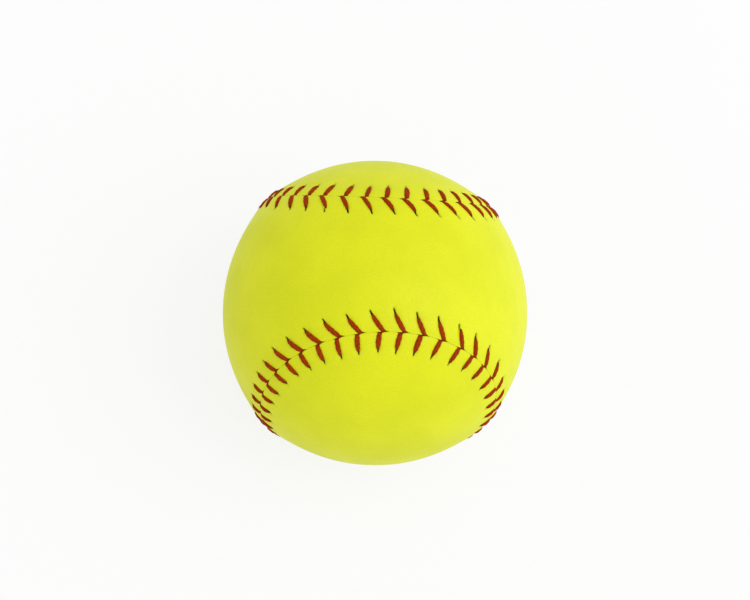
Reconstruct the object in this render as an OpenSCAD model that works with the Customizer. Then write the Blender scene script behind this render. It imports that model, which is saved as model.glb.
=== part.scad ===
// Softball, twelve-inch size: a cork-and-rubber core wound with yarn and coated with latex,
// inside a cover of two figure-eight panels sewn together with two waxed threads.
//
// Lengths are in millimetres. The origin is the middle of the ball. Panel A has its narrow
// waist at the top (+Z) and its two round lobes at -X and +X. Panel B is the same panel with
// its waist at the bottom (-Z) and its lobes at -Y and +Y.

/* [Ball] */
// Diameter over the cover, between the stitches
ball_d = 97; // [86:0.5:98]
// Thickness of the cover panels
cover_t = 1.8; // [1.6:0.1:2.4]
// Thickness of the latex coat under the cover
latex_t = 0.3; // [0.2:0.05:0.6]
// Thickness of the yarn wound on the core
winding_t = 8.4; // [4:0.2:16]

/* [Seam] */
// How strongly the seam line is pinched towards the waist of each panel
pinch_share = 0.49; // [0.42:0.01:0.52]
// How high the seam line swings up and down, as a share of the ball's radius
swing_share = 1.13; // [1.0:0.01:1.25]
// Gap between the edges of the two panels
seam_gap = 0.3; // [0.2:0.05:0.5]
// Width of the valley where the panel edges roll down to the seam
valley_w = 1.8; // [1.4:0.1:2.6]
// Depth of that valley
valley_depth = 0.45; // [0.3:0.05:0.6]
// Thickness left where the inside of a panel is skived to make room for the thread
skived_t = 0.9; // [0.8:0.05:1.0]

/* [Stitching] */
// Number of stitches along the seam
stitches = 88; // [80:4:100]
// Distance from the seam to the needle holes on each side
stitch_reach = 5.7; // [4.8:0.1:6.4]
// How far the point of a stitch lies ahead of its needle holes
stitch_lead = 2.1; // [1.5:0.1:2.8]
// What that lead gains along a panel's waist and loses round its lobes
lead_sway = 0.7; // [0:0.1:1]
// Thickness of the waxed thread
thread_d = 1.1; // [0.9:0.05:1.3]
// Width to which its plies spread in the middle of a stitch
stitch_w = 1.4; // [1.2:0.05:1.6]
// How far a stitch arches off the cover
stitch_arch = 0.3; // [0.1:0.05:0.5]
// Clearance between the thread and what it passes through
thread_clear = 0.1; // [0.06:0.01:0.15]

/* [Hidden] */

// Radii of the layers, from the outside in
ball_r = ball_d/2;
cover_inner_r = ball_r - cover_t;
latex_inner_r = cover_inner_r - latex_t;
core_r = latex_inner_r - winding_t;

// The thread is thinner where a hole or the seam squeezes it
neck_share = 0.85;
neck_d = neck_share*thread_d;
tip_share = 0.65;
tip_d = tip_share*thread_d;

// Two threads go down side by side at the point of every stitch
tip_offset = tip_d/2 + thread_clear;
notch_d = 2*(tip_offset + tip_d/2 + thread_clear);
hole_d = neck_d + 2*thread_clear;

// The channel inside the panels, in which the thread runs to its next hole
channel_h = cover_t - skived_t;
skive_r = ball_r - skived_t;
channel_reach = stitch_reach + neck_d/2 + 3*thread_clear;
under_r = cover_inner_r + channel_h/2;
under_t = channel_h - 2*thread_clear;

// Radii at which the middle of the thread leaves its hole, crosses the cover and turns down
exit_r = ball_r + thread_clear + neck_d/2;
crown_r = ball_r + thread_clear + thread_d/2 + stitch_arch;
point_r = ball_r + tip_d/2;

// What every cutting shape sticks out past the surface that it cuts
overrun = cover_t;
// How far a seam cone reaches, so that its flat facets clear the round ball
cone_reach = 1.8*ball_r;

// The seam line. u is the angle of travel round it, and the result is a direction from the
// middle of the ball. A quarter turn of u maps panel A's side of the seam on panel B's.
function unit(v) = v/norm(v);
function seam_dir(u) = unit([-sin(u) - pinch_share*sin(3*u),
                             cos(u) - pinch_share*cos(3*u),
                             swing_share*cos(2*u)]);

// Table of the length of seam travelled on the ball's surface against u
table_steps = 1440;
table_dirs = [for (i = [0:table_steps]) seam_dir(i*360/table_steps)];
table_s = [for (i = 0, s = 0; i <= table_steps;
                s = s + (i < table_steps ? ball_r*norm(table_dirs[i + 1] - table_dirs[i]) : 0),
                i = i + 1) s];
seam_len = table_s[table_steps];
seam_table = [for (i = [0:table_steps]) [table_s[i], i*360/table_steps]];
function seam_u(s) = lookup(s - seam_len*floor(s/seam_len), seam_table);
pitch = seam_len/stitches;

// Direction, travel and the sense towards panel A at a length s along the seam
probe = pitch/50;
function dir_at(s) = seam_dir(seam_u(s));
function travel_at(s) = unit(dir_at(s + probe) - dir_at(s - probe));
function towards_a(s) = cross(dir_at(s), travel_at(s));

// Point at length s, at w beside the seam measured on the ball's surface, and at radius r
function place(s, w, r) = let (a = w/ball_r*180/PI)
    r*(cos(a)*dir_at(s) + sin(a)*towards_a(s));

// The point of every stitch, counted from the middle of panel A's waist
first_stitch_share = 0.43;
function stitch_s(i) = (i + first_stitch_share)*pitch;
// The lead of a stitch's leg on a side: 1 is panel A and -1 is panel B
function waist_share(s) = dir_at(s)[2]/seam_dir(0)[2];
function lead_on(side, s) = stitch_lead + side*lead_sway*waist_share(s);
function hole_s(side, i) = stitch_s(i) - lead_on(side, stitch_s(i));

echo(circumference = PI*ball_d, seam_length = seam_len, stitch_pitch = pitch);

// A solid cone from the middle of the ball round panel A, whose edge stays at w from the seam
module panel_cone(w, n) {
    ring = [for (k = [0:n - 1]) unit(place((k + 1/2)*seam_len/n, w, ball_r))];
    rows = n/2;
    points = concat([[0, 0, 0]],
                    [for (p = ring) cone_reach*p],
                    [for (k = [0:rows - 1]) let (p = ring[(k + n - n/4)%n])
                        cone_reach*unit([p[0], 0, p[2]])]);
    function near(k) = 1 + (k + n - n/4)%n;
    function spine(k) = 1 + n + k;
    function far(k) = 1 + (n + n/2 - 1 - (k + n - n/4)%n)%n;
    faces = concat(
        [for (k = [0:n - 1]) [0, 1 + k, 1 + (k + 1)%n]],
        [for (k = [0:rows - 2]) each [[near(k), spine(k), near(k + 1)],
                                      [spine(k), spine(k + 1), near(k + 1)],
                                      [spine(k), far(k), far(k + 1)],
                                      [spine(k), far(k + 1), spine(k + 1)]]],
        [[near(0), far(0), spine(0)], [near(rows - 1), spine(rows - 1), far(rows - 1)]]);
    polyhedron(points, faces);
}

// A ring of three-sided section that follows the seam and cuts the valley
module valley_ring(n) {
    rim_w = valley_w/2*(1 + overrun/valley_depth);
    points = [for (k = [0:n - 1]) let (s = (k + 1/2)*seam_len/n)
        each [place(s, rim_w, ball_r + overrun), place(s, -rim_w, ball_r + overrun),
              place(s, 0, ball_r - valley_depth)]];
    faces = [for (k = [0:n - 1]) for (j = [0:2])
        let (a = 3*k, b = 3*((k + 1)%n), m = (j + 1)%3)
        each [[a + j, b + j, a + m], [b + j, b + m, a + m]]];
    polyhedron(points, faces);
}

// A round cut that points at the middle of the ball
module radial_cut(p, d) {
    rotate([0, acos(p[2]/norm(p)), atan2(p[1], p[0])])
        translate([0, 0, cover_inner_r - overrun])
            cylinder(h = cover_t + 2*overrun, d = d, $fn = 24);
}

// A hollow ball between two radii
module shell(outer_r, inner_r) {
    difference() {
        sphere(r = outer_r, $fn = 72);
        sphere(r = inner_r, $fn = 72);
    }
}

// One cover panel: a piece of a hollow ball with a skived, rolled and punched edge
module cover_panel() {
    difference() {
        union() {
            intersection() {
                shell(ball_r, skive_r);
                panel_cone(seam_gap/2, 3*stitches);
            }
            intersection() {
                shell(skive_r, cover_inner_r);
                panel_cone(channel_reach, stitches);
            }
        }
        valley_ring(2*stitches);
        for (i = [0:stitches - 1]) radial_cut(place(hole_s(1, i), stitch_reach, ball_r), hole_d);
        for (i = [0:stitches - 1]) radial_cut(place(stitch_s(i), 0, ball_r), notch_d);
    }
}

// The turn and flip of the seam's symmetry, which bring panel A on panel B
module other_side() {
    mirror([0, 0, 1]) rotate([0, 0, 90]) children();
}

// Stations of the thread in one stitch leg: place of its middle, half its width along the
// seam and half its thickness. The leg comes up its needle hole, crosses over the cover to
// the point of the stitch and goes down between the panels.
function leg(side, i) =
    let (s0 = hole_s(side, i),
         ahead = side*sign(waist_share(stitch_s(i))),
         s1 = stitch_s(i) + ahead*tip_offset,
         crown_share = 0.36,
         brow_share = 0.76,
         brow_w = (stitch_w + tip_d)/2,
         w = side*stitch_reach)
    [[place(s0, w, under_r), neck_d/2, under_t/2, s0],
     [place(s0, w, exit_r), neck_d/2, neck_d/2, s0],
     [place(s0 + crown_share*(s1 - s0), w*(1 - crown_share), crown_r), stitch_w/2, thread_d/2, s0],
     [place(s0 + brow_share*(s1 - s0), w*(1 - brow_share), crown_r - stitch_arch/2),
      brow_w/2, thread_d/2, s1],
     [place(s1, 0, point_r), tip_d/2, tip_d/2, s1],
     [place(s1, 0, under_r), tip_d/2, under_t/2, s1]];

// One unbroken thread. It takes every second hole of panel A and the holes between them of
// panel B, and between two legs it runs hidden in the channel.
module seam_thread(first_side) {
    sides = 5;
    stations = [for (i = [0:stitches - 1]) each leg(i%2 == 0 ? first_side : -first_side, i)];
    n = len(stations);
    points = [for (k = [0:n - 1])
        let (c = stations[k][0],
             to_here = unit(c - stations[(k + n - 1)%n][0]),
             from_here = unit(stations[(k + 1)%n][0] - c),
             t = unit(to_here + from_here),
             g = travel_at(stations[k][3]),
             u = unit(g - (g*t)*t),
             v = cross(t, u)/(from_here*t))
        for (j = [0:sides - 1])
            c + stations[k][1]*cos(j*360/sides)*u + stations[k][2]*sin(j*360/sides)*v];
    faces = [for (k = [0:n - 1]) for (j = [0:sides - 1])
        let (a = sides*k, b = sides*((k + 1)%n), m = (j + 1)%sides)
        each [[a + j, b + j, a + m], [b + j, b + m, a + m]]];
    polyhedron(points, faces);
}

module core() {
    color("#8a5a35") sphere(r = core_r, $fn = 72);
}

module yarn_winding() {
    color("#d9d3c4") shell(latex_inner_r, core_r);
}

module latex_coat() {
    color("#efe2b8") shell(cover_inner_r, latex_inner_r);
}

module cover_panel_a() {
    color("#dbe61e") cover_panel();
}

module cover_panel_b() {
    color("#cfdc10") other_side() cover_panel();
}

module seam_thread_a() {
    color("#b3231b") seam_thread(1);
}

module seam_thread_b() {
    color("#c93a2a") seam_thread(-1);
}

core();
yarn_winding();
latex_coat();
cover_panel_a();
cover_panel_b();
seam_thread_a();
seam_thread_b();
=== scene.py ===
# %% [markdown]
# # A stitched softball
#
# A construction model of a softball comes packed as a fixed frame: a core, its winding and
# latex coat, two cover panels and two seam threads. This lesson gives the ball its looks.
# The core and the latex coat keep their solids and get a finish. The winding, the cover and
# the threads are modelled again in full: crossing turns of yarn, leather that swells, rolls
# and puckers, and thread with twisted plies.
#
# Everything is in metres, with the middle of the ball at the origin.

# %% Load the frame
import math

import bpy
import numpy as np
from mathutils import Matrix, Vector


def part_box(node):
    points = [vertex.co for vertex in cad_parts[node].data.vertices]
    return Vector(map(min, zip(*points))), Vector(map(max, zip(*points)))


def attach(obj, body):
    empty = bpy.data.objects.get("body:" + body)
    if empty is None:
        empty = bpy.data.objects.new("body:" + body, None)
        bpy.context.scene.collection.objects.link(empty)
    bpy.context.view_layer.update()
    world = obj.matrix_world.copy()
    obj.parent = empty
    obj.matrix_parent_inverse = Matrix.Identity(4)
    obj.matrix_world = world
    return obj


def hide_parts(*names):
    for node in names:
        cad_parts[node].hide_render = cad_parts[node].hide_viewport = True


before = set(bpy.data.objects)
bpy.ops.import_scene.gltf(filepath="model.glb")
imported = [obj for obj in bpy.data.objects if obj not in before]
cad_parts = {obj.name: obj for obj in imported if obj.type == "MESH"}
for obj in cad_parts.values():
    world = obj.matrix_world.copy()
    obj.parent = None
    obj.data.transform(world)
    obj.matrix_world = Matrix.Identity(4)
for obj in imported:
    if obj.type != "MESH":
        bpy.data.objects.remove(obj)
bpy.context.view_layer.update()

mm = 0.001
print("frame:", sorted(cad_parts))

# %% [markdown]
# ## The camera
#
# The photograph looks at the ball from a little off the middle of one panel's waist. A
# camera needs three things: where it stands, which way is up in the picture, and how long
# its lens is. A product photograph is taken from a distance with a long lens, which keeps
# the ball round. The ball sits a touch below the middle of the picture, so the lens is
# shifted by that much instead of tipping the camera.

# %% The camera
ball_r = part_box("cover_panel_a")[1].z
camera_side = Vector((-0.1108, -0.3131, 0.9432)).normalized()
picture_up = Vector((-0.0387, 0.9497, 0.3107))
picture_right = picture_up.cross(camera_side).normalized()
picture_up = camera_side.cross(picture_right)
camera_distance = 7.911 * ball_r
photo_width = 750
focal_px = 1200.7
ball_drop_px = 13.0
sensor_width = 36.0
nearest_seen = 10 * mm


def facing(side, up):
    """The turn of an object that looks back along side, with up pointing up."""
    right = up.cross(side).normalized()
    return Matrix((right, side.cross(right), side)).transposed().to_euler()


camera_data = bpy.data.cameras.new("camera")
camera = bpy.data.objects.new("camera", camera_data)
bpy.context.scene.collection.objects.link(camera)
camera.location = camera_side * camera_distance
camera.rotation_euler = facing(camera_side, picture_up)
camera_data.sensor_width = sensor_width
camera_data.lens = focal_px / photo_width * sensor_width
camera_data.shift_y = ball_drop_px / photo_width
camera_data.clip_start = nearest_seen
bpy.context.scene.camera = camera
bpy.context.scene.view_settings.view_transform = "Standard"
print("camera: lens", round(camera_data.lens, 1), "mm,", round(camera_distance, 3), "m away")

# %% [markdown]
# ## The seam line
#
# Each panel of the cover is a figure eight, and the seam between the two panels is one
# closed line on the ball. A short formula gives it: `u` goes once round, and the result is
# a direction from the middle of the ball. A table of the length travelled turns `u` into a
# true distance `s`, so that stitches can be spaced evenly, as a seamstress marks them.

# %% The seam line
pinch_share = 0.49
swing_share = 1.13
stitches = 88
first_stitch_share = 0.43
table_steps = 14400


def unit(v):
    return v / np.linalg.norm(v, axis=-1, keepdims=True)


def seam_dir(u):
    x = -np.sin(u) - pinch_share * np.sin(3 * u)
    y = np.cos(u) - pinch_share * np.cos(3 * u)
    z = swing_share * np.cos(2 * u)
    return unit(np.stack([x, y, z], axis=-1))


table_u = np.linspace(0, 2 * math.pi, table_steps + 1)
step_lengths = np.linalg.norm(np.diff(seam_dir(table_u), axis=0), axis=1)
table_s = np.concatenate([[0], np.cumsum(step_lengths)]) * ball_r
seam_len = table_s[-1]
pitch = seam_len / stitches
probe = pitch / 50


def dir_at(s):
    return seam_dir(np.interp(s % seam_len, table_s, table_u))


def travel_at(s):
    return unit(dir_at(s + probe) - dir_at(s - probe))


def place(s, w, r):
    """Points at s along the seam, w beside it towards panel A, and r from the middle."""
    s, w, r = np.broadcast_arrays(s, w, r)
    away = dir_at(s)
    towards_a = np.cross(away, travel_at(s))
    angle = (w / ball_r)[..., None]
    return r[..., None] * (np.cos(angle) * away + np.sin(angle) * towards_a)


print("seam:", round(seam_len / mm, 1), "mm, a stitch every", round(pitch / mm, 2), "mm")

# %% [markdown]
# ## Where the stitches lie
#
# A V stitch has one leg on each panel. The leg comes up out of a needle hole and runs to the
# seam, where it goes down between the panels. No two stitches of a hand-sewn ball are quite
# alike, so every hole and every point is off its mark by a fraction of a millimetre. The
# numbers come from a generator with a fixed seed, so the ball is the same on every run.
#
# A leg's hole lies a little behind the place where the leg meets the seam. The photograph
# shows how much: far behind on the waist, less at the far end of a lobe, and hardly at all on
# the sides of a lobe, where the legs are shorter too. The slit beyond the hole goes on in the
# leg's direction.
#
# Panel B is panel A after a quarter turn and a flip, so only panel A's side is worked out.
# The points of the stitches belong to both panels, and repeat every quarter of the seam.

# %% Curves from one value to another
def smooth_step(low, high, x):
    t = np.clip((x - low) / (high - low), 0, 1)
    return t * t * (3 - 2 * t)


def bell(x, width):
    return np.exp(-((x / width) ** 2))


def block(x, half_width):
    """A bell with a flat top and steep sides."""
    return np.exp(-((x / half_width) ** 4))


print("a bell falls to", round(float(bell(1.0, 1.0)), 2), "at its width")

# %% Where the stitches lie
side_reach = 4.0 * mm
end_reach = 5.0 * mm
reach_change = (0.25, 0.95)
side_lead = 0.2 * mm
waist_lead = 2.4 * mm
lobe_lead = 1.2 * mm
waist_change = (0.25, 0.85)
lobe_change = (0.6, 1.0)
leg_bow_share = 0.25
slit_lean_share = 0.65
point_gap = 0.55 * mm
along_spread = 0.16 * mm
reach_spread = 0.14 * mm
leg_width_spread = 0.06
slit_spread = 0.07 * mm
quarter = stitches // 4
chance = np.random.default_rng(seed=12)
hole_stray = chance.normal(0, along_spread, stitches)
reach_stray = chance.normal(0, reach_spread, stitches)
point_stray = np.tile(chance.normal(0, reach_spread, quarter), 4)
leg_width_share = 1 + chance.normal(0, leg_width_spread, stitches)
slit_stray = chance.normal(0, slit_spread, stitches)
waist_top = seam_dir(np.array(0.0))[2]


def waist_share(s):
    """1 in the middle of panel A's waist, and -1 at the far end of its lobes."""
    return dir_at(s)[..., 2] / waist_top


def by_place(s, on_side, on_waist, on_lobe):
    """A length that has one value on a lobe's sides, one on the waist and one on a lobe's end."""
    share = waist_share(s)
    more_on_waist = (on_waist - on_side) * smooth_step(*waist_change, share)
    more_on_lobe = (on_lobe - on_side) * smooth_step(*lobe_change, -share)
    return on_side + more_on_waist + more_on_lobe


def lead_at(s):
    """How far a leg's hole lies behind its point."""
    return by_place(s, side_lead, waist_lead, lobe_lead)


def reach_at(s):
    """How far a leg's hole lies from the seam."""
    share = np.abs(waist_share(s))
    return side_reach + (end_reach - side_reach) * smooth_step(*reach_change, share)


def point_at(i):
    return (i + first_stitch_share) * pitch + point_stray[i % stitches]


def side_sign(s):
    """1 where panel A's leg ends ahead of the point, and -1 where it ends behind."""
    return np.where(waist_share(s) >= 0, 1.0, -1.0)


def reach_of(i):
    return reach_at(point_at(i)) + reach_stray[i % stitches]


def bowed(q):
    """How much of its lead a leg has at q. The leg bows up to its hole, and its slit goes on."""
    on_leg = np.clip(q, 0, 1)
    beyond = np.maximum(q - 1, 0)
    return on_leg * (1 + leg_bow_share * (1 - on_leg ** 2)) + slit_lean_share * beyond


def leg_s(i, q):
    """How far along the seam leg i's middle line is, where q goes from 0, seam, to 1, hole."""
    point = point_at(i)
    lead = lead_at(point) - hole_stray[i % stitches]
    return point + side_sign(point) * point_gap * (1 - np.clip(q, 0, 1)) - lead * bowed(q)


print(stitches, "stitches, their holes", side_reach / mm, "to", end_reach / mm, "mm out")

# %% [markdown]
# ## The shape of the leather
#
# A new ball is not a plain sphere. The cover is pulled tight over the lobes, and stands
# proud beside the seam, where the panels' edges and the thread lie under it. At the seam the
# edges roll down to meet. Each leg of a stitch presses a groove, the leather is pulled into
# a dimple with a dark slit at each needle hole, and the edges of the panels are prised apart
# where the thread goes down between them.
#
# All of that is one function: the radius of the leather at a place, together with the
# painted shade of its slits and notches. It adds up bell curves and smooth steps, each with
# its own named width and depth. The swell beside the seam was judged from the outline in the
# photograph, and the slits from their length there.

# %% The swell beside the seam
ridge_h = 2.1 * mm
ridge_round = 5.0 * mm
ridge_fade = 12.0 * mm
puff_h = 0.10 * mm
puff_rise = (0.3 * mm, 1.6 * mm)
puff_fall = (5.0 * mm, 8.0 * mm)
waist_half = float(np.arccos(waist_top)) * ball_r


def swell(w):
    return ridge_h * np.exp(-np.sqrt(w * w + ridge_round ** 2) / ridge_fade)


lobe_r = ball_r - float(swell(waist_half))


def open_leather(w):
    """Radius of the leather's outside where no stitch presses it."""
    puff = puff_h * smooth_step(*puff_rise, w) * (1 - smooth_step(*puff_fall, w))
    return lobe_r + swell(w) + puff


ridge_r = float(open_leather(puff_rise[1]))
print("leather: lobes", round(lobe_r / mm, 2), "mm, ridge", round(ridge_r / mm, 2), "mm")

# %% The edge of a panel
edge_gap = 0.008 * mm
roll_w = 0.40 * mm
roll_d = 0.06 * mm
notch_d = 0.42 * mm
notch_spread = 0.30 * mm
notch_ahead = 0.75 * mm
notch_behind = 0.50 * mm
notch_w = 0.80 * mm


def near_stitches(s):
    """The numbers of the three stitches nearest to places along the seam."""
    middle = np.floor(s / pitch - first_stitch_share + 0.5).astype(int)
    return [middle + k for k in (-1, 0, 1)]


def notch_at(s):
    """1 where the thread prises panel A's edge away from the seam, and 0 between stitches."""
    centre = np.where(side_sign(s) > 0, notch_ahead, -notch_behind)
    return sum(bell(s - point_at(i) - centre, notch_w) for i in near_stitches(s))


def edge_w(s):
    """How far the panel's edge stands from the seam line."""
    return edge_gap + notch_spread * notch_at(s)


print("the edges stand", edge_gap * 2 / mm, "mm apart, and more at a stitch")

# %% What a stitch does to the leather
groove_d = 0.26 * mm
groove_w = 0.80 * mm
groove_start = (0.2 * mm, 1.5 * mm)
groove_end = (-0.8 * mm, 0.6 * mm)
pull_d = 0.26 * mm
pull_w = 1.15 * mm
pull_back = 0.3 * mm
slit_d = 1.0 * mm
slit_half_w = 0.18 * mm
side_slit = 0.36 * mm
waist_slit = 0.66 * mm
lobe_slit = 0.52 * mm
slit_overlap = 0.20 * mm
slit_shadow_w = 0.42 * mm
slit_shadow_l = 0.80 * mm
slit_shadow_share = 0.30
tuck_d = 0.05 * mm
tuck_w = 0.4 * mm
tuck_l = 1.1 * mm


def slit_half_length(i):
    return by_place(point_at(i), side_slit, waist_slit, lobe_slit) + slit_stray[i % stitches]


def leather(s, w):
    """Radius of the leather's outside at s and w on panel A, and the painted shade of its slits
    and notches.
    """
    sink = np.zeros_like(s)
    pocket = np.zeros_like(s)
    for i in near_stitches(s):
        reach = reach_of(i)
        across = s - leg_s(i, w / reach)
        past = w - reach
        half_l = slit_half_length(i)
        beyond = past - half_l + slit_overlap
        groove = bell(across, groove_w) * smooth_step(*groove_start, w)
        groove = groove * (1 - smooth_step(*groove_end, past))
        pull = bell(np.hypot(across, beyond + pull_back), pull_w)
        slit = block(across, slit_half_w) * block(beyond, half_l)
        tuck = bell(across, tuck_w) * smooth_step(0, tuck_w, beyond)
        tuck = tuck * np.exp(-np.maximum(beyond, 0) / tuck_l)
        sink = sink + groove_d * groove + pull_d * pull + slit_d * slit + tuck_d * tuck
        # Painted shade: the slit, and a painted shadow round it, darken the colour there
        shadow = bell(across, slit_shadow_w) * bell(beyond, slit_shadow_l)
        pocket = pocket + slit + slit_shadow_share * shadow
    notch = np.clip(notch_at(s), 0, 1)
    inward = np.clip((w - edge_w(s)) / roll_w, 0, 1)
    rolled = 1 - np.sqrt(1 - (1 - inward) ** 2)
    sink = sink + (roll_d + notch_d * notch) * rolled
    # Painted shade where a notch opens the seam between the edges
    pocket = pocket + notch * rolled
    return open_leather(w) - sink, np.clip(pocket, 0, 1)


print("a leg's groove is", groove_d / mm, "mm deep and its slit", slit_d / mm, "mm")

# %% [markdown]
# ## Modelling a band flat and laying it on the ball
#
# The leather beside the seam holds all the detail, so its mesh should run with the seam. A
# cobbler would cut a straight strip and lay it on. That works here too: a grid primitive is
# a flat strip with neat rows, every vertex knows how far along and how far across it is,
# and one formula moves it to its place on the ball. Merging the doubles joins the ends.

# %% Opening a piece and moving its points
def nothing_selected():
    """Leaves edit mode and deselects everything, so that an operator acts on one piece."""
    if bpy.context.mode != "OBJECT":
        bpy.ops.object.mode_set(mode="OBJECT")
    bpy.ops.object.select_all(action="DESELECT")


def work_on(piece):
    nothing_selected()
    piece.select_set(True)
    bpy.context.view_layer.objects.active = piece


def edit_all(piece):
    """Opens a piece in edit mode with all of it selected."""
    work_on(piece)
    bpy.ops.object.mode_set(mode="EDIT")
    bpy.ops.mesh.select_all(action="SELECT")


def points_of(piece):
    flat = np.empty(len(piece.data.vertices) * 3)
    piece.data.vertices.foreach_get("co", flat)
    return flat.reshape(-1, 3)


def put_points(piece, points):
    piece.data.vertices.foreach_set("co", np.ascontiguousarray(points, dtype=np.float32).ravel())
    piece.data.update()


def add_values(piece, name, values):
    """Keeps a number or a vector for each vertex, which a material can read by its name."""
    values = np.asarray(values, dtype=np.float32)
    kind, field = ("FLOAT", "value") if values.ndim == 1 else ("FLOAT_VECTOR", "vector")
    attribute = piece.data.attributes.new(name, kind, "POINT")
    attribute.data.foreach_set(field, values.ravel())


print("pieces are opened one at a time, with", work_on.__name__)

# %% A flat strip and its groups
merge_distance = 0.002 * mm


def flat_strip(name, columns, rows):
    """A flat grid whose vertices lie from 0 to 1 in x and in y."""
    nothing_selected()
    bpy.ops.mesh.primitive_grid_add(x_subdivisions=columns, y_subdivisions=rows, size=1,
                                    location=(0.5, 0.5, 0))
    bpy.ops.object.transform_apply(location=True, rotation=True, scale=True)
    piece = bpy.context.object
    piece.name = piece.data.name = name
    return piece


def merge_doubles(piece):
    edit_all(piece)
    bpy.ops.mesh.remove_doubles(threshold=merge_distance)
    bpy.ops.object.mode_set(mode="OBJECT")


def mark(piece, name, chosen):
    """Puts the chosen vertices in a vertex group."""
    group = piece.vertex_groups.new(name=name)
    group.add(np.flatnonzero(chosen).tolist(), 1.0, "REPLACE")


def pick(piece, *names):
    """Selects the vertices and edges of some groups in edit mode, and nothing else."""
    work_on(piece)
    bpy.ops.object.mode_set(mode="EDIT")
    bpy.ops.mesh.select_mode(type="VERT")
    bpy.ops.mesh.select_all(action="DESELECT")
    for name in names:
        bpy.ops.object.vertex_group_set_active(group=name)
        bpy.ops.object.vertex_group_select()
    bpy.ops.mesh.select_mode(type="EDGE")


print("doubles closer than", merge_distance / mm, "mm are merged")

# %% The stitched band of a panel
columns_per_stitch = 20
crowding_share = 0.68
band_w = 10.0 * mm
follow_w = 6.5 * mm
# Which row of faces lies how far from the edge: they crowd at the seam and at the slits
row_numbers = (0, 8, 15, 34, 38)
row_places = (0, 1.2 * mm, 3.5 * mm, 6.7 * mm, band_w)
band_rows = row_numbers[-1]
foot_shadow_share = 0.12
latex_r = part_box("latex_coat")[1].z
skived_t = 0.95 * mm
wall_foot_r = latex_r + skived_t


def stitched_band():
    """The leather beside the seam. Its columns crowd together at the legs and follow them."""
    strip = flat_strip("cover_panel_a_leather", stitches * columns_per_stitch, band_rows + 1)
    x, y, _ = points_of(strip).T
    row = np.rint(y * (band_rows + 1))
    foot = row == 0
    w = np.interp(row - 1, row_numbers, row_places)
    follow = 1 - smooth_step(follow_w, band_w, w)
    s = x * seam_len
    wave = np.sin(2 * math.pi * (s / pitch - first_stitch_share)) * pitch / (2 * math.pi)
    s = s - crowding_share * wave * follow
    s = s - lead_at(s) * follow * bowed(w / reach_at(s))
    w = w + edge_w(s) * (1 - w / band_w)
    r, pocket = leather(s, w)
    put_points(strip, place(s, w, np.where(foot, wall_foot_r, r)))
    # Painted shade at the foot of the wall under the seam, darkest at a notch
    foot_shadow = np.clip(foot_shadow_share + notch_at(s), 0, 1)
    add_values(strip, "pocket", np.where(foot, foot_shadow, pocket))
    mark(strip, "foot", foot)
    mark(strip, "brim", row == band_rows + 1)
    merge_doubles(strip)
    return strip


panel = stitched_band()
print(panel.name, "band:", len(panel.data.polygons), "faces")

# %% [markdown]
# ## Closing the panel
#
# The band is only the stitched edge. The middle of the panel is smooth, so it needs far
# fewer faces. It is a second strip, laid lengthwise from the end of one lobe to the end of
# the other, with its two long edges just inside the band. Its edge has one vertex for every
# four of the band's, and the bridge tool joins the two. The same steps close the inside,
# because the panel is a real piece of leather with a thickness. It is skived thin beside
# the seam, where the thread passes under it.

# %% The middle of a panel
rib_count = stitches * columns_per_stitch // 4
brim_step = 1.1 * mm
middle_w = band_w + brim_step
middle_columns = 52
relax_times = 12
same_place = 0.001
on_edge_share = 1e-6
marks_per_stitch = 6
batches = 40


def seam_distance(points):
    """Distance on the ball from points to the nearest of many marks on the seam."""
    line = dir_at(np.linspace(0, seam_len, marks_per_stitch * stitches, endpoint=False))
    nearest = [np.max(unit(part) @ line.T, axis=1) for part in np.array_split(points, batches)]
    return np.arccos(np.clip(np.concatenate(nearest), -1, 1)) * ball_r


def relax(piece, fixed):
    """Moves every free vertex to the middle of its neighbours, a few times over."""
    edges = np.empty(len(piece.data.edges) * 2, dtype=np.int64)
    piece.data.edges.foreach_get("vertices", edges)
    a, b = edges.reshape(-1, 2).T
    points = points_of(piece)
    touching = np.bincount(edges, minlength=len(points))[:, None]
    for _ in range(relax_times):
        total = np.zeros_like(points)
        np.add.at(total, a, points[b])
        np.add.at(total, b, points[a])
        points = np.where(fixed[:, None], points, unit(total / touching) * ball_r)
    return points


def middle_of_panel(name, edge, columns, radius_at):
    """A strip that covers panel A from one long edge to the other."""
    rows = rib_count // 2
    strip = flat_strip(name, rows, columns)
    x, y, _ = points_of(strip).T
    lobe_end = rib_count / 4
    left = unit(place((lobe_end - x * rows) / rib_count * seam_len, edge, 1.0))
    right = unit(place((lobe_end + x * rows) / rib_count * seam_len, edge, 1.0))
    turn = np.arccos(np.clip(np.sum(left * right, axis=1), -1, 1))[:, None]
    near, far = (1 - y)[:, None], y[:, None]
    wide = turn > same_place
    safe_turn = np.where(wide, turn, 1.0)
    arc = np.sin(near * safe_turn) * left + np.sin(far * safe_turn) * right
    put_points(strip, unit(np.where(wide, arc, left)) * ball_r)
    mark(strip, name, np.minimum(y, 1 - y) * np.minimum(x, 1 - x) < on_edge_share)
    merge_doubles(strip)
    on_edge = np.array([bool(v.groups) for v in strip.data.vertices])
    points = relax(strip, on_edge)
    w = np.where(on_edge, edge, seam_distance(points))
    put_points(strip, unit(points) * radius_at(w)[:, None])
    return strip


print("the middle starts", round(middle_w / mm, 1), "mm from the seam")

# %% Closing the panel
skive_w = 6.6 * mm
skive_step = 0.8 * mm
lining_columns = 20
lining_gap = 0.05 * mm
inner_r = latex_r + lining_gap


def lining(w):
    return np.full_like(w, inner_r)


def rib(name, w, r):
    """A circle primitive laid on the ball at w from the seam."""
    nothing_selected()
    bpy.ops.mesh.primitive_circle_add(vertices=rib_count, radius=1, fill_type="NOTHING")
    ring = bpy.context.object
    x, y, _ = points_of(ring).T
    number = np.rint(np.arctan2(-x, y) / (2 * math.pi) * rib_count) % rib_count
    put_points(ring, place(number / rib_count * seam_len, w, r))
    mark(ring, name, np.full(rib_count, True))
    return ring


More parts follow.
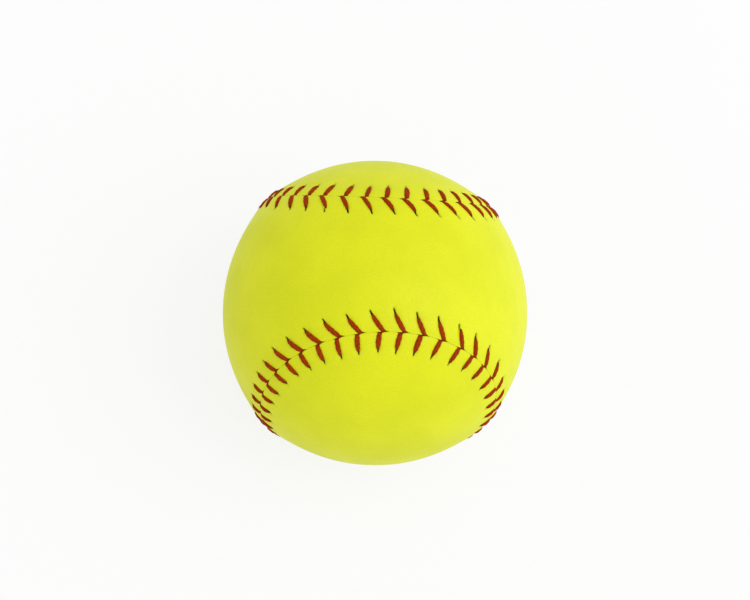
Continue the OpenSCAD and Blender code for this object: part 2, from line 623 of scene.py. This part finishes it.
def bridge(piece, first, second):
    pick(piece, first, second)
    bpy.ops.mesh.bridge_edge_loops()
    bpy.ops.object.mode_set(mode="OBJECT")


def face_outwards(piece):
    edit_all(piece)
    bpy.ops.mesh.normals_make_consistent(inside=False)
    bpy.ops.object.mode_set(mode="OBJECT")


def close_panel(piece):
    parts = [middle_of_panel("outer", middle_w, middle_columns, open_leather),
             rib("under", roll_w, wall_foot_r),
             rib("skive", skive_w, wall_foot_r),
             middle_of_panel("lining", skive_w + skive_step, lining_columns, lining)]
    work_on(piece)
    for part in parts:
        part.select_set(True)
    bpy.ops.object.join()
    joins = (("brim", "outer"), ("foot", "under"), ("under", "skive"), ("skive", "lining"))
    for first, second in joins:
        bridge(piece, first, second)
    face_outwards(piece)
    bpy.ops.object.shade_smooth()


close_panel(panel)
print(panel.name, "closed:", len(panel.data.polygons), "faces")

# %% [markdown]
# ## The second panel
#
# Both panels are cut with the same die. A quarter turn about Z and a flip of Z bring one on
# the other, stitch by stitch, so the second panel is a copy with its own mesh. A flip turns
# a mesh inside out, so its normals are worked out again.

# %% The second panel
def other_side(piece, name):
    """A copy of a piece, brought to the other side of the seam."""
    work_on(piece)
    bpy.ops.object.duplicate()
    copy = bpy.context.object
    copy.name = copy.data.name = name
    x, y, z = points_of(copy).T
    put_points(copy, np.stack([-y, x, -z], axis=-1))
    face_outwards(copy)
    return copy


second_panel = other_side(panel, "cover_panel_b_leather")
print(second_panel.name, "copied")

# %% [markdown]
# ## The seam thread
#
# A ball is sewn with two needles. Each thread comes up on one panel, crosses to the seam,
# goes down between the panels, runs hidden under the other panel and comes up there. Over
# the leather its plies spread into a leaf, wide in the middle and narrow at the needle hole.
# On the waist's side it enters the seam aslant, so it ends in a pointed beak that lies along
# the seam. On the lobe's side it ends short and blunt, just behind.
#
# The thread is made like the band: a flat strip that is rolled up round a line. The line
# follows a few listed stations, joined by smooth curves. The waxed plies are
# twisted, so the section has three lobes that turn slowly on the way.

# %% The stations of a stitch
leaf_half_w = 0.66 * mm
leaf_half_t = 0.42 * mm
beak_l = 1.15 * mm
beak_turn = math.radians(75)
leg_rings = 24

# A station has the share of the way from the hole to the seam, the share of the beak's
# length that it lies along the seam, half the width and half the thickness as shares of the
# leaf's, and the height of its middle over the leather as a share of half the thickness
leaf_station_shares = [(-0.10, 0, 0.24, 0.45, -2.00),
                       (-0.04, 0, 0.28, 0.50, -0.95),
                       (0.03, 0, 0.42, 0.60, -0.12),
                       (0.13, 0, 0.66, 0.80, 0.38),
                       (0.29, 0, 0.90, 0.96, 0.66),
                       (0.47, 0, 1.00, 1.00, 0.74),
                       (0.67, 0, 1.00, 1.00, 0.70)]
beak_station_shares = [(0.84, 0.00, 0.94, 0.94, 0.54),
                       (0.93, 0.12, 0.78, 0.80, 0.28),
                       (0.965, 0.36, 0.54, 0.62, 0.00),
                       (0.985, 0.68, 0.30, 0.46, -0.42),
                       (1.00, 1.00, 0.10, 0.34, -1.20)]
blunt_station_shares = [(0.84, 0.00, 0.96, 0.95, 0.54),
                        (0.94, 0.02, 0.90, 0.86, 0.22),
                        (0.985, 0.06, 0.78, 0.76, -0.30),
                        (1.00, 0.14, 0.58, 0.66, -1.05),
                        (1.00, 0.20, 0.50, 0.60, -1.90)]


def smooth_through(stations, count):
    """Points on a smooth curve through a list of stations."""
    rows = np.array(stations)
    rows = np.vstack([2 * rows[0] - rows[1], rows, 2 * rows[-1] - rows[-2]])
    t = np.linspace(0, len(stations) - 1, count)
    k = np.minimum(t.astype(int), len(stations) - 2)
    f = (t - k)[:, None]
    a, b, c, d = (rows[k + j] for j in range(4))
    return 0.5 * (2 * b + (c - a) * f + (2 * a - 5 * b + 4 * c - d) * f ** 2
                  + (3 * b - a - 3 * c + d) * f ** 3)


print("a stitch's leg has", len(leaf_station_shares + beak_station_shares), "stations")

# %% The line of a thread
hidden_rings = 5
hidden_lift = 0.42 * mm
hidden_r = inner_r + hidden_lift
hidden_half_w = 0.50 * mm
hidden_half_t = 0.33 * mm
painted_sunk_shade_heights = (-0.60, 0.66)

# The columns of a table with one row for each ring of the thread
column_names = ("s", "w", "r", "half_w", "half_t", "turn", "sunk")
s_column, w_column, turn_column = (column_names.index(name) for name in ("s", "w", "turn"))


def leg_rows(i):
    """Rings along leg i of panel A, from its needle hole to the seam."""
    point = point_at(i)
    ending = beak_station_shares if side_sign(point) > 0 else blunt_station_shares
    share, along, width, thick, height = smooth_through(leaf_station_shares + ending, leg_rings).T
    w = (1 - share) * reach_of(i)
    s = leg_s(np.full(leg_rings, i), 1 - share) + side_sign(point) * along * beak_l
    r = open_leather(np.maximum(w, 0)) - groove_d + height * leaf_half_t
    half_w = width * leaf_half_w * leg_width_share[i % stitches]
    half_t = thick * leaf_half_t
    turn = side_sign(point) * along * beak_turn
    # Painted shade: the lower a ring lies below the leather, the darker it is painted
    sunk = 1 - smooth_step(*painted_sunk_shade_heights, height)
    return np.stack([s, w, r, half_w, half_t, turn, sunk], axis=-1)


def on_other_side(rows):
    """Brings rings worked out for panel A to panel B's side of the seam."""
    moved = rows.copy()
    moved[:, s_column] += seam_len / 4
    moved[:, w_column] *= -1
    moved[:, turn_column] *= -1
    return moved


def hidden_rows(start, end):
    """Rings of the hidden run from the bottom of one leg to the hole of the next."""
    t = np.linspace(0, 1, hidden_rings + 2)[1:-1, None]
    path = start[:2] + (end[:2] - start[:2]) * t
    # The hidden run lies flat and is painted fully dark
    flat_and_painted_dark = np.array([hidden_r, hidden_half_w, hidden_half_t, 0, 1])
    return np.hstack([path, np.tile(flat_and_painted_dark, (hidden_rings, 1))])


def thread_rows():
    """All rings of one endless thread. It takes every second hole of each panel."""
    legs = []
    for i in range(stitches):
        on_a = i % 2 == 0
        legs.append(leg_rows(i) if on_a else on_other_side(leg_rows(i - quarter)))
    once_round = np.zeros(len(column_names))
    once_round[s_column] = seam_len
    legs.append(legs[0] + once_round)
    rows = [np.vstack([leg, hidden_rows(leg[-1], after[0])]) for leg, after in zip(legs, legs[1:])]
    return np.vstack(rows).T


print("a thread has", stitches * (leg_rings + hidden_rings), "rings")

# %% Rolling a strip into a thread
plies = 3


def roll_up(name, middle, wide, tall, length, twist, sides, ply_d_share=0.0):
    """Rolls a flat strip round a line. wide and tall reach from the line to the thread's skin.

    length is how far along the thread each ring lies. It has one number more than there are
    rings where the thread is endless, so that the last ring is the first once more.
    """
    columns = len(length) - 1
    strip = flat_strip(name, columns, sides)
    x, y, _ = points_of(strip).T
    number = np.rint(x * columns).astype(int)
    ring = number % len(middle)
    angle = 2 * math.pi * y
    lay = angle + 2 * math.pi * round(length[-1] / twist) * length[number] / length[-1]
    bulge = 1 + ply_d_share * (2 * np.abs(np.cos(plies * lay / 2)) - 1)
    across = (np.cos(angle) * bulge)[:, None] * wide[ring]
    put_points(strip, middle[ring] + across + (np.sin(angle) * bulge)[:, None] * tall[ring])
    fibre = np.stack([np.cos(lay), np.sin(lay), length[number] / leaf_half_w], axis=-1)
    add_values(strip, "fibre", fibre)
    return strip, ring, lay


def finish_thread(strip):
    merge_doubles(strip)
    face_outwards(strip)
    bpy.ops.object.shade_smooth()


print("a thread is laid of", plies, "plies")

# %% The two seam threads
thread_sides = 18
seam_ply_d_share = 0.15
seam_twist = 5.0 * mm


def make_thread(name):
    s, w, r, half_w, half_t, turn, sunk = thread_rows()
    middle = place(s, w, r)
    ahead = np.roll(middle, -1, axis=0)
    behind = np.roll(middle, 1, axis=0)
    along = unit(unit(ahead - middle) + unit(middle - behind))
    travel = travel_at(s)
    towards_a = np.cross(dir_at(s), travel)
    aim = np.cos(turn)[:, None] * travel + np.sin(turn)[:, None] * towards_a
    wide = unit(aim - np.sum(aim * along, axis=1)[:, None] * along)
    tall = np.cross(along, wide)
    length = np.concatenate([[0], np.cumsum(np.linalg.norm(ahead - middle, axis=1))])
    wide = half_w[:, None] * wide
    tall = half_t[:, None] * tall
    strip, ring, lay = roll_up(name, middle, wide, tall, length, seam_twist, thread_sides,
                               seam_ply_d_share)
    # Masks for painted shade: how far each ring has sunk, and the valleys between the plies
    add_values(strip, "sunk", sunk[ring])
    add_values(strip, "valley", 1 - np.abs(np.cos(plies * lay / 2)))
    finish_thread(strip)
    print(name, "length", round(length[-1] / mm), "mm,", len(strip.data.polygons), "faces")
    return strip


thread = make_thread("seam_thread_a_waxed")
second_thread = other_side(thread, "seam_thread_b_waxed")

# %% [markdown]
# ## The yarn winding
#
# Under the cover lies one long yarn, wound tightly round the core by a machine that turns the
# ball a little on every turn. Each turn is a great circle whose axis wanders slowly over the
# ball, so the turns cross at every angle. A strip rolled up like the seam thread follows that
# path from the first turn to the last, and six sides are enough for so thin a yarn. The last
# turns lie highest, and a wall under the yarn closes the gaps between turns. The wall is two
# spheres, one inside the other, and the inner one is turned to face the core.

# %% The yarn winding
yarn_half = 0.80 * mm
yarn_turns = 200
yarn_drifts = 9.4
yarn_sways = 17.3
yarn_sway = 0.22
yarn_turn_rings = 56
yarn_sides = 6
yarn_twist = 7.0 * mm
slub_rings = yarn_turn_rings // 4
slub_share = 0.07
yarn_lift = 0.9 * mm
yarn_clearance = 0.06 * mm
yarn_tuck_rings = 3
winding_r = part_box("yarn_winding")[1].z
core_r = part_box("core")[1].z
wall_segments = 96


def wound_yarn():
    """One yarn from its first turn to its last. Both ends are tucked under and drawn to a tip."""
    count = yarn_turns * yarn_turn_rings + 1
    t = np.linspace(0, 1, count)
    theta = 2 * math.pi * yarn_turns * t
    phi = 2 * math.pi * yarn_drifts * t
    tilt = np.arccos(1 - t) + yarn_sway * np.sin(2 * math.pi * yarn_sways * t)
    cos_tilt = np.cos(tilt)
    first = np.stack([cos_tilt * np.cos(phi), cos_tilt * np.sin(phi), -np.sin(tilt)], axis=-1)
    second = np.stack([-np.sin(phi), np.cos(phi), np.zeros(count)], axis=-1)
    away = np.cos(theta)[:, None] * first + np.sin(theta)[:, None] * second
    ring = np.arange(count)
    slub_at = np.arange(0, count, slub_rings)
    slub = np.interp(ring, slub_at, chance.normal(0, slub_share, len(slub_at)))
    slub = np.clip(slub, -2 * slub_share, 2 * slub_share)
    from_end = np.minimum(ring, ring[::-1])
    tucked = 1 - smooth_step(0, yarn_tuck_rings, from_end)
    top_r = winding_r - yarn_clearance - yarn_half * (1 + 2 * slub_share)
    r = top_r - yarn_lift * (1 - t) - 2 * yarn_half * tucked
    middle = r[:, None] * away
    along = unit(np.gradient(middle, axis=0))
    tall = unit(away - np.sum(away * along, axis=1)[:, None] * along)
    wide = np.cross(along, tall)
    half = np.where(from_end == 0, 0, yarn_half * (1 + slub))[:, None]
    length = np.concatenate([[0], np.cumsum(np.linalg.norm(np.diff(middle, axis=0), axis=1))])
    yarn, *_ = roll_up("yarn_winding_wound", middle, half * wide, half * tall, length,
                       yarn_twist, yarn_sides)
    finish_thread(yarn)
    print("yarn:", round(length[-1], 1), "m long,", len(yarn.data.polygons), "faces")
    return yarn


def wall_sphere(radius):
    nothing_selected()
    bpy.ops.mesh.primitive_uv_sphere_add(segments=wall_segments, ring_count=wall_segments // 2,
                                         radius=radius)
    return bpy.context.object


def wound_ball():
    yarn = wound_yarn()
    outer = wall_sphere(winding_r - 2 * yarn_half - yarn_lift)
    inner = wall_sphere(core_r)
    edit_all(inner)
    bpy.ops.mesh.flip_normals()
    work_on(yarn)
    outer.select_set(True)
    inner.select_set(True)
    bpy.ops.object.join()
    bpy.ops.object.shade_smooth()
    return yarn


winding = wound_ball()
print(winding.name, "with its wall:", len(winding.data.polygons), "faces")

# %% [markdown]
# ## Finishes without wiring by hand
#
# A material in Blender is a net of nodes. Long nets are hard to read, so two small classes
# let the net be written as sums. A `Wire` stands for one output, and `wire * 2 + other` adds
# the Math nodes for that sum. A `Finish` holds one material and adds any other node.

# %% An output that can be added up
class Wire:
    """An output of a node. Arithmetic on it adds Math nodes."""

    def __init__(self, finish, socket):
        self.finish = finish
        self.socket = socket

    def math(self, operation, *others):
        return self.finish.node("Math", {"operation": operation}, self, *others)

    def __add__(self, other):
        return self.math("ADD", other)

    def __sub__(self, other):
        return self.math("SUBTRACT", other)

    def __rsub__(self, other):
        return self.finish.node("Math", {"operation": "SUBTRACT"}, other, self)

    def __mul__(self, other):
        return self.math("MULTIPLY", other)

    # Sums and products are the same from either side
    __radd__ = __add__
    __rmul__ = __mul__


print("sums go through", Wire.__name__)

# %% A material that adds its own nodes
class Finish:
    """One material, with methods that add nodes to it."""

    def __init__(self, name):
        self.material = bpy.data.materials.new(name)
        self.material.use_nodes = True
        self.tree = self.material.node_tree
        self.shader = self.tree.nodes["Principled BSDF"]

    def plug(self, socket, value):
        if isinstance(value, Wire):
            self.tree.links.new(value.socket, socket)
        elif value is not None:
            socket.default_value = value

    def node(self, kind, settings, *values, output=0, **named_values):
        """Adds a node of a kind: its settings first, then its sockets by order or by name."""
        node = self.tree.nodes.new("ShaderNode" + kind)
        for name, setting in settings.items():
            if name == "stops":
                self.set_stops(node.color_ramp.elements, setting)
            else:
                setattr(node, name, setting)
        for socket, value in zip(node.inputs, values):
            self.plug(socket, value)
        for name, value in named_values.items():
            self.plug(node.inputs[name.replace("_", " ")], value)
        return Wire(self, node.outputs[output])

    def set_stops(self, elements, stops):
        while len(elements) < len(stops):
            elements.new(1.0)
        for element, (position, shade) in zip(elements, stops):
            element.position = position
            element.color = shade

    def point(self):
        """The place on the piece, in metres from the middle of the ball."""
        return self.node("TexCoord", {}, output="Object")

    def value(self, name, output="Fac"):
        """A value kept for each vertex of the piece."""
        return self.node("Attribute", {"attribute_name": name}, output=output)

    def noise(self, point, size, detail=2.0, output=0):
        return self.node("TexNoise", {}, output=output,
                         Vector=point, Scale=1 / size, Detail=detail)

    def streaks(self, across, along):
        """Noise drawn out along a thread's fibres, which go round with its plies."""
        fibre = self.vectors("MULTIPLY", self.value("fibre", "Vector"), (across, across, along))
        return self.noise(fibre, 1.0, detail=3.0)

    def cells(self, point, size, feature, output=0):
        """Irregular cells, about size across."""
        return self.node("TexVoronoi", {"feature": feature}, output=output,
                         Vector=point, Scale=1 / size)

    def vectors(self, operation, *values, output=0):
        return self.node("VectorMath", {"operation": operation}, *values, output=output)

    def between(self, wire, low, high):
        """0 below low and 1 above high, with a smooth step from one to the other."""
        smooth = {"interpolation_type": "SMOOTHSTEP"}
        return self.node("MapRange", smooth, wire, low, high, 0.0, 1.0)

    def blend(self, share, first, second):
        """A colour between two colours, which are the sockets after the five for numbers."""
        skipped = [None] * 5
        return self.node("Mix", {"data_type": "RGBA"}, share, *skipped, first, second, output=2)

    def bump(self, height, distance, below=None):
        """A normal that follows a height from 0 to 1, whose top is distance above its foot."""
        return self.node("Bump", {}, Strength=1.0, Distance=distance, Height=height, Normal=below)

    def surface(self, **sockets):
        """Sets sockets of the shader, by name."""
        for name, value in sockets.items():
            self.plug(self.shader.inputs[name.replace("_", " ")], value)


print("materials go through", Finish.__name__)

# %% Colours
def colour(red, green, blue):
    """A colour as a picture shows it, from 0 to 255, in the linear form that shaders take."""
    def linear(c):
        c = c / 255
        return c / 12.92 if c <= 0.04045 else ((c + 0.055) / 1.055) ** 2.4
    return (linear(red), linear(green), linear(blue), 1.0)


def give(piece, finish):
    """Makes a finish the only one on a piece."""
    piece.data.materials.clear()
    piece.data.materials.append(finish.material)


print("a middle grey is", round(colour(128, 128, 128)[0], 3), "in linear form")

# %% [markdown]
# ## The cover's finish
#
# The cover is a fluorescent yellow leather with a satin skin. Three things keep it from
# looking like plastic: a fine grain of pebbles with creases between them, which is too small
# to model and so is a bump, with painted shade in the creases; a faint mottling, because no
# hide takes its dye evenly; and painted shade in the needle holes and along the seam, where
# the band has kept how much painted shade each vertex gets. The inside of the panel is the
# undyed flesh side, found by its smaller distance from the middle of the ball.

# %% The cover's finish
cover_yellow = colour(229, 234, 0)
cover_shade = colour(221, 227, 0)
painted_crease_shade = colour(196, 203, 0)
painted_hollow_shade_colour = colour(54, 48, 6)
flesh_side = colour(222, 214, 186)
mottle_size = 16 * mm
mottle_change = (0.3, 0.7)
grain_size = 0.75 * mm
grain_stray = 0.35 * mm
grain_h = 0.012 * mm
grain_edge = 4.0
painted_crease_shade_share = 0.2
pore_size = 0.16 * mm
pore_h = 0.003 * mm
crease_size = 4.0 * mm
crease_h = 0.030 * mm
cover_roughness = 0.46
mottle_roughness = 0.06
grain_roughness = 0.08
pocket_roughness = 0.30
flesh_r = (latex_r + 0.5 * mm, latex_r + 0.8 * mm)


def cover_finish():
    cover = Finish("cover_leather")
    point = cover.point()
    stray = cover.noise(point, grain_size, output=1)
    bent = cover.vectors("MULTIPLY_ADD", stray, (grain_stray,) * 3, point)
    pebble = (cover.cells(bent, grain_size, "DISTANCE_TO_EDGE") * grain_edge).math("MINIMUM", 1.0)
    mottle = cover.between(cover.noise(point, mottle_size, detail=4.0), *mottle_change)
    crease = cover.noise(point, crease_size, detail=3.0)
    pocket = cover.value("pocket")
    radius = cover.vectors("LENGTH", point, output="Value")
    outside = cover.between(radius, *flesh_r)

    skin = cover.blend(mottle, cover_yellow, cover_shade)
    # Painted shade darkens the creases between the pebbles
    skin = cover.blend((1 - pebble) * painted_crease_shade_share, skin, painted_crease_shade)
    # Painted shade in the needle holes and along the seam
    skin = cover.blend(pocket, skin, painted_hollow_shade_colour)
    normal = cover.bump(crease, crease_h)
    normal = cover.bump(pebble, grain_h, normal)
    normal = cover.bump(cover.noise(point, pore_size), pore_h, normal)
    dullness = cover_roughness + mottle_roughness * mottle
    dullness = dullness + grain_roughness * (1 - pebble) + pocket_roughness * pocket
    cover.surface(Base_Color=cover.blend(outside, flesh_side, skin), Roughness=dullness,
                  Normal=normal, Specular_IOR_Level=0.3)
    return cover


cover = cover_finish()
print("finish:", cover.material.name)

# %% [markdown]
# ## The thread's finish
#
# The thread is waxed red cotton. Its fibres follow the twist of the plies, so the streaks
# can't come from a place in space. They come from the `fibre` vector that each ring has
# kept: two numbers that go round with the twist and one that grows along the thread.
# Painted shade darkens the valleys between the plies, and the thread is painted darkest
# where it sinks into a hole or into the seam.

# %% The thread's finish
thread_red = colour(176, 60, 4)
thread_shade = colour(134, 46, 0)
thread_painted_valley_shade = colour(96, 26, 0)
thread_painted_sunk_shade = colour(44, 26, 4)
valley_shares = (0.45, 1.0)
streaks_round = 4.0
streaks_along = 0.3
streak_change = (0.3, 0.7)
thread_roughness = 0.42
streak_roughness = 0.25
fibre_h = 0.02 * mm


def thread_finish():
    wax = Finish("waxed_thread")
    sunk = wax.value("sunk")
    streak = wax.streaks(streaks_round, streaks_along)
    strand = wax.blend(wax.between(streak, *streak_change), thread_shade, thread_red)
    # Painted shade in the valleys between the plies
    strand = wax.blend(wax.between(wax.value("valley"), *valley_shares), strand, thread_painted_valley_shade)
    # Painted shade where the thread sinks into a hole or into the seam
    wax.surface(Base_Color=wax.blend(sunk, strand, thread_painted_sunk_shade),
                Roughness=thread_roughness + streak_roughness * streak,
                Normal=wax.bump(streak, fibre_h), Specular_IOR_Level=0.05)
    return wax


wax = thread_finish()
print("finish:", wax.material.name)

# %% [markdown]
# ## The finishes of the inner layers
#
# The core is a moulded ball of cork granules in rubber, so its colour comes cell by cell from
# a short ramp of cork browns. The yarn is undyed cotton and polyester, with painted shade where
# a turn lies deep between others, and streaks along its twist. The latex coat is a thin dried
# skin, a little glossy, that shows the turns of yarn below it as soft bumps.

# %% The finishes of the inner layers
yarn_cream = colour(226, 218, 198)
yarn_grey = colour(190, 182, 164)
yarn_painted_shade = colour(164, 152, 128)
yarn_streaks_round = 2.5
yarn_streaks_along = 0.5
yarn_streak_change = (0.35, 0.65)
yarn_painted_shade_r = (winding_r - 2.2 * mm, winding_r - 1.0 * mm)
yarn_fibre_h = 0.04 * mm
yarn_roughness = 0.78
yarn_streak_roughness = 0.15
cork_browns = [(0.0, colour(64, 42, 28)), (0.3, colour(122, 82, 50)),
               (0.6, colour(164, 118, 76)), (0.85, colour(96, 54, 34))]
rubber_brown = colour(54, 38, 30)
granule_size = 2.2 * mm
granule_edge = (0.02, 0.10)
granule_h = 0.15 * mm
granule_h_share = 0.8
speck_size = granule_size / 8
cork_roughness = 0.62
speck_roughness = 0.30
latex_cream = colour(228, 214, 172)
latex_amber = colour(206, 182, 128)
drip_size = 9.0 * mm
drip_h = 0.12 * mm
thin_change = (0.35, 0.65)
latex_roughness = 0.30
thin_roughness = 0.25


def core_finish():
    cork = Finish("cork_and_rubber")
    point = cork.point()
    edge = cork.cells(point, granule_size, "DISTANCE_TO_EDGE")
    granule = cork.cells(point, granule_size, "F1", output="Color")
    brown = cork.node("ValToRGB", {"stops": cork_browns}, granule)
    in_granule = cork.between(edge, *granule_edge)
    speck = cork.noise(point, speck_size, detail=3.0)
    height = in_granule * granule_h_share + speck * (1 - granule_h_share)
    cork.surface(Base_Color=cork.blend(in_granule, rubber_brown, brown),
                 Roughness=cork_roughness + speck_roughness * speck,
                 Normal=cork.bump(height, granule_h))
    return cork


def yarn_finish():
    yarn = Finish("wound_yarn")
    radius = yarn.vectors("LENGTH", yarn.point(), output="Value")
    streak = yarn.streaks(yarn_streaks_round, yarn_streaks_along)
    strand = yarn.blend(yarn.between(streak, *yarn_streak_change), yarn_grey, yarn_cream)
    # Painted shade: the yarn is painted darker the deeper it lies in the winding
    shade = 1 - yarn.between(radius, *yarn_painted_shade_r)
    yarn.surface(Base_Color=yarn.blend(shade, strand, yarn_painted_shade),
                 Roughness=yarn_roughness + yarn_streak_roughness * streak,
                 Normal=yarn.bump(streak, yarn_fibre_h), Specular_IOR_Level=0.2)
    return yarn


def latex_finish():
    latex = Finish("dried_latex")
    point = latex.point()
    drip = latex.noise(point, drip_size, detail=4.0)
    thin = latex.between(drip, *thin_change)
    latex.surface(Base_Color=latex.blend(thin, latex_cream, latex_amber),
                  Roughness=latex_roughness + thin_roughness * thin,
                  Normal=latex.bump(drip, drip_h))
    return latex


yarn = yarn_finish()
cork = core_finish()
latex = latex_finish()
print("finishes:", ", ".join(finish.material.name for finish in (cork, yarn, latex)))

# %% [markdown]
# ## Floor and background
#
# The photograph has a plain white background. White comes from what the camera sees and not
# from more light on the ball: to camera rays, and to rays that a gloss or a glass sends on,
# the floor is for the most part a white that glows by itself, and the rest is a pale paint
# that takes light and shadow. Away from the ball the glow takes over, so that no horizon
# shows. All other rays meet the paint alone.

# %% What the camera sees of the floor
pure_white = (1.0, 1.0, 1.0, 1.0)


def seen_directly(tree):
    """1 for camera, glossy and transmission rays, and 0 for all others."""
    path = tree.nodes.new("ShaderNodeLightPath")
    total = path.outputs["Is Camera Ray"]
    for name in ("Is Glossy Ray", "Is Transmission Ray"):
        either = tree.nodes.new("ShaderNodeMath")
        either.operation = "MAXIMUM"
        tree.links.new(total, either.inputs[0])
        tree.links.new(path.outputs[name], either.inputs[1])
        total = either.outputs[0]
    return total


def mix_shaders(tree, share, first, second, end):
    mix = tree.nodes.new("ShaderNodeMixShader")
    tree.links.new(share, mix.inputs[0])
    tree.links.new(first, mix.inputs[1])
    tree.links.new(second, mix.inputs[2])
    tree.links.new(mix.outputs[0], end)


print("white is", pure_white)

# %% The floor
floor_size = 8.0
floor_grey = (0.86, 0.86, 0.86, 1.0)
floor_roughness = 0.85
speckle_size = 0.5 * mm
speckle_roughness = 0.10
near_glow_share = 0.80
glow_change = (0.10, 0.45)
floor_z = min(float(points_of(piece)[:, 2].min()) for piece in (second_panel, second_thread))
nothing_selected()
bpy.ops.mesh.primitive_plane_add(size=floor_size, location=(0, 0, floor_z))
bpy.ops.object.transform_apply(location=True, rotation=True, scale=True)
floor = bpy.context.object
floor.name = "floor"
paint = Finish("floor_paint")
speckle = paint.noise(paint.point(), speckle_size)
paint.surface(Base_Color=floor_grey, Roughness=floor_roughness + speckle_roughness * speckle,
              Specular_IOR_Level=0.1)
glow = paint.node("Emission", {}, pure_white, 1.0)
from_ball = paint.vectors("LENGTH", paint.point(), output="Value")
glow_share = near_glow_share + (1 - near_glow_share) * paint.between(from_ball, *glow_change)
share = Wire(paint, seen_directly(paint.tree)) * glow_share
mix_shaders(paint.tree, share.socket, paint.shader.outputs[0], glow.socket,
            paint.tree.nodes["Material Output"].inputs["Surface"])
give(floor, paint)
print("floor:", floor_size, "m wide, at", round(floor_z / mm, 2), "mm")

# %% The room
room_strength = 0.78
world = bpy.data.worlds.new("studio")
bpy.context.scene.world = world
world.use_nodes = True
room = world.node_tree.nodes["Background"]
room.inputs["Color"].default_value = pure_white
room.inputs["Strength"].default_value = room_strength
white = world.node_tree.nodes.new("ShaderNodeBackground")
white.inputs["Color"].default_value = pure_white
white.inputs["Strength"].default_value = 1.0
mix_shaders(world.node_tree, seen_directly(world.node_tree), room.outputs[0], white.outputs[0],
            world.node_tree.nodes["World Output"].inputs["Surface"])
print("room: strength", room_strength)

# %% [markdown]
# ## Light
#
# The room itself gives most of the light, which keeps the shadows pale. A large softbox in
# front and to the right shapes the ball, and a low panel on the right gives the pale sheen
# that the photograph shows on the ball's right edge: leather reflects most where it is seen
# at a slant.

# %% Light
overhead_share = 0.6


def softbox(name, direction, distance, width, height, power):
    light = bpy.data.lights.new(name, "AREA")
    light.shape = "RECTANGLE"
    light.size = width
    light.size_y = height
    light.energy = power
    lamp = bpy.data.objects.new(name, light)
    bpy.context.scene.collection.objects.link(lamp)
    side = direction.normalized()
    overhead = abs(side.z) > overhead_share
    lamp.location = side * distance
    lamp.rotation_euler = facing(side, Vector((0, 1, 0)) if overhead else Vector((0, 0, 1)))
    return lamp


front_side = picture_right * 0.60 + picture_up * 0.12 + camera_side * 0.80
low_right_side = picture_right + camera_side * 0.05
front_softbox = softbox("front_softbox", front_side, distance=2.5,
                        width=1.8, height=1.8, power=20.0)
edge_panel = softbox("edge_panel", low_right_side, distance=0.6,
                     width=0.9, height=0.22, power=0.5)
print("lights:", front_softbox.name, edge_panel.name)

# %% [markdown]
# ## Putting it together
#
# Each new piece rides with the body of the construction model, hides the solid that it
# replaces, and gets its finish directly. The core and the latex coat keep their
# solids, so they only get a material.

# %% Putting it together
def dress(piece, finish, node):
    give(piece, finish)
    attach(piece, "root")
    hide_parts(node)


dress(panel, cover, "cover_panel_a")
dress(second_panel, cover, "cover_panel_b")
dress(thread, wax, "seam_thread_a")
dress(second_thread, wax, "seam_thread_b")
dress(winding, yarn, "yarn_winding")
give(bpy.data.objects["core"], cork)
give(bpy.data.objects["latex_coat"], latex)
print("dressed:", panel.name, second_panel.name, thread.name, second_thread.name, winding.name)
